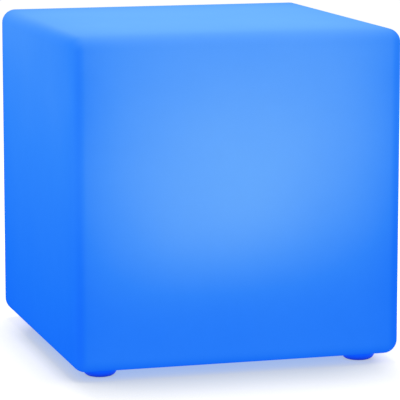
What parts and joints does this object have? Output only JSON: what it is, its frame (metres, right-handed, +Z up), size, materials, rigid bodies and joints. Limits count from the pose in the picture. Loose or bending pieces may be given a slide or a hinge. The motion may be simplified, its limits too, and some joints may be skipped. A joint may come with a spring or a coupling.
{
  "type": "led cube light",
  "caption": "Glowing rounded cube light for a garden or terrace, standing on low round feet, with its light module, button and charging socket underneath.",
  "frame": {"origin": "centre of the base on the floor, under the feet", "axes": "+Z up, the front face looks along -Y, +X to the right seen from the front"},
  "size_m": [0.4, 0.4, 0.4],
  "materials": {
    "shell_plastic": "translucent satin polyethylene, lit blue from inside",
    "foot_rubber": "translucent soft elastomer, lit blue from above",
    "tray_plastic": "moulded, fine texture",
    "gasket_rubber": "soft, matt",
    "button_plastic": "soft touch",
    "flap_rubber": "soft, matt",
    "dome_plastic": "frosted, translucent",
    "clear_plastic": "clear, polished",
    "steel": "zinc plated",
    "brass": "turned",
    "board_metal": "white solder mask on aluminium",
    "board_green": "solder mask",
    "led_white": "white package with phosphor",
    "black_plastic": "moulded",
    "white_plastic": "moulded nylon",
    "cell_metal": "nickel plated can",
    "sleeve_plastic": "shrunk film",
    "foam": "closed-cell foam",
    "wire_red": "wire insulation",
    "wire_black": "wire insulation",
    "wire_white": "wire insulation"
  },
  "bodies": {
    "cube": {"shell": "shell_plastic", "foot_front_left": "foot_rubber", "foot_front_right": "foot_rubber", "foot_back_left": "foot_rubber", "foot_back_right": "foot_rubber", "foot_washers": "steel", "foot_screws": "steel", "foot_inserts": "brass", "flange_inserts": "brass", "base_tray": "tray_plastic", "flange_gasket": "gasket_rubber", "flange_screws": "steel", "diffuser_dome": "dome_plastic", "dome_gasket": "gasket_rubber", "dome_screws": "steel", "led_board": "board_metal", "led_packages": "led_white", "led_board_screws": "steel", "led_socket": "white_plastic", "battery_cells": "cell_metal", "battery_sleeve": "sleeve_plastic", "protection_board": "board_green", "battery_pad": "foam", "battery_bracket": "steel", "bracket_screws": "steel", "battery_lead_red": "wire_red", "battery_lead_black": "wire_black", "battery_plug": "white_plastic", "battery_header": "white_plastic", "control_board": "board_green", "control_chip": "black_plastic", "driver_transistors": "black_plastic", "power_inductor": "black_plastic", "smoothing_capacitors": "cell_metal", "control_screws": "steel", "led_header": "white_plastic", "led_plug": "white_plastic", "led_harness": "wire_white", "indicator_led": "led_white", "indicator_pipe": "clear_plastic", "button_seal": "gasket_rubber", "switch_body": "black_plastic", "charge_jack": "black_plastic", "jack_pin": "brass", "jack_washer": "steel", "jack_nut": "steel", "jack_terminals": "brass", "flap_pin": "steel"},
    "power_button": {"power_button": "button_plastic", "switch_plunger": "black_plastic"},
    "port_flap": {"port_flap": "flap_rubber"}
  },
  "joints": [
    {"name": "power_button_press", "type": "slide", "parent": "cube", "child": "power_button", "axis": [0, 0, 1], "range_m": [0, 0.0015], "stiffness_N_per_m": 1000, "springref_m": -0.0003},
    {"name": "port_flap_hinge", "type": "hinge", "parent": "cube", "child": "port_flap", "pos_m": [0.029, -0.027, 0.0266], "axis": [0, -1, 0], "range_deg": [0, 100]}
  ]
}
